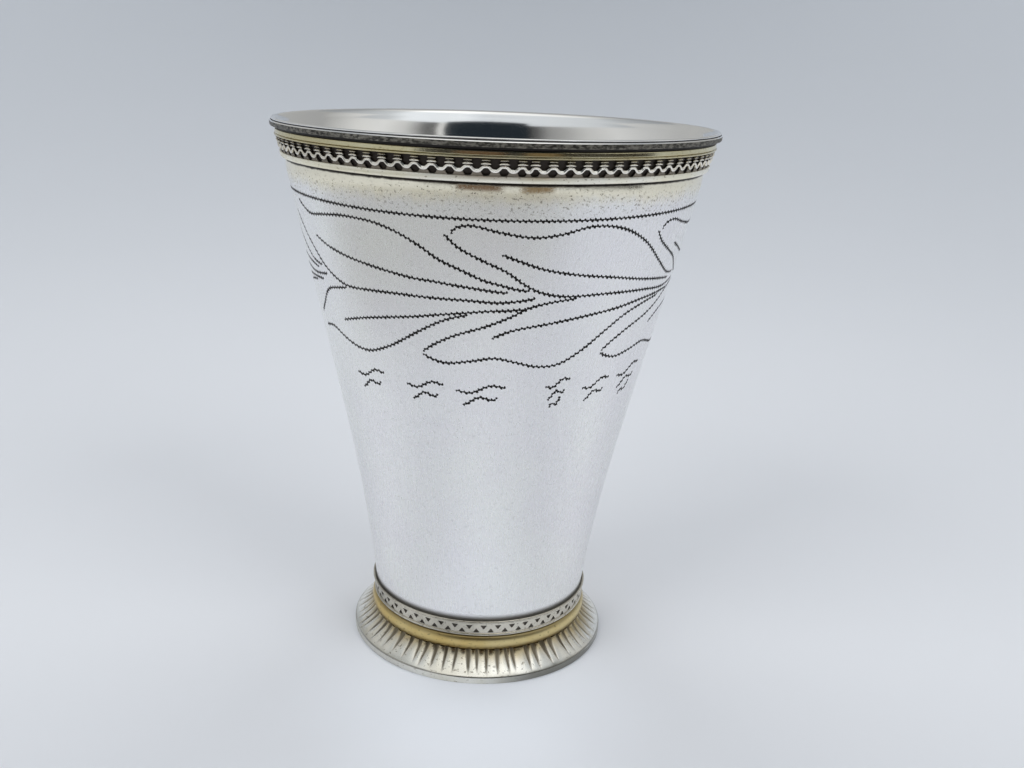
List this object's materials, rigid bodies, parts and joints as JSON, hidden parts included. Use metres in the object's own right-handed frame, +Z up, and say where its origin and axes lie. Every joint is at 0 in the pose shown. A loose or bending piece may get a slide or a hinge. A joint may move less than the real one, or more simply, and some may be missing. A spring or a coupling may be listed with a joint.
{
  "type": "wedding cup",
  "caption": "Tapering silver beaker with a gilt rim band, an engraved leaf frieze and a fluted foot, for drinking or display.",
  "frame": {"origin": "centre of the foot's underside", "axes": "+Z up along the axis that the cup is turned about; -Y is the side with the lettering-like strokes"},
  "size_m": [0.0802, 0.0802, 0.1],
  "materials": {
    "silver": "satin hand-polished silver, faint upright brushing",
    "gilding": "worn pale fire-gilding over silver, darker in the hollows",
    "trim_silver": "silver with dark tarnish left in the hollows"
  },
  "bodies": {
    "root": {"cup_body": "silver", "rim_upper_moulding": "gilding", "rim_wave_wire": "trim_silver", "rim_lower_wire": "gilding", "foot_wave_strip": "trim_silver", "foot_moulding": "gilding", "foot_skirt": "trim_silver"}
  },
  "joints": []
}
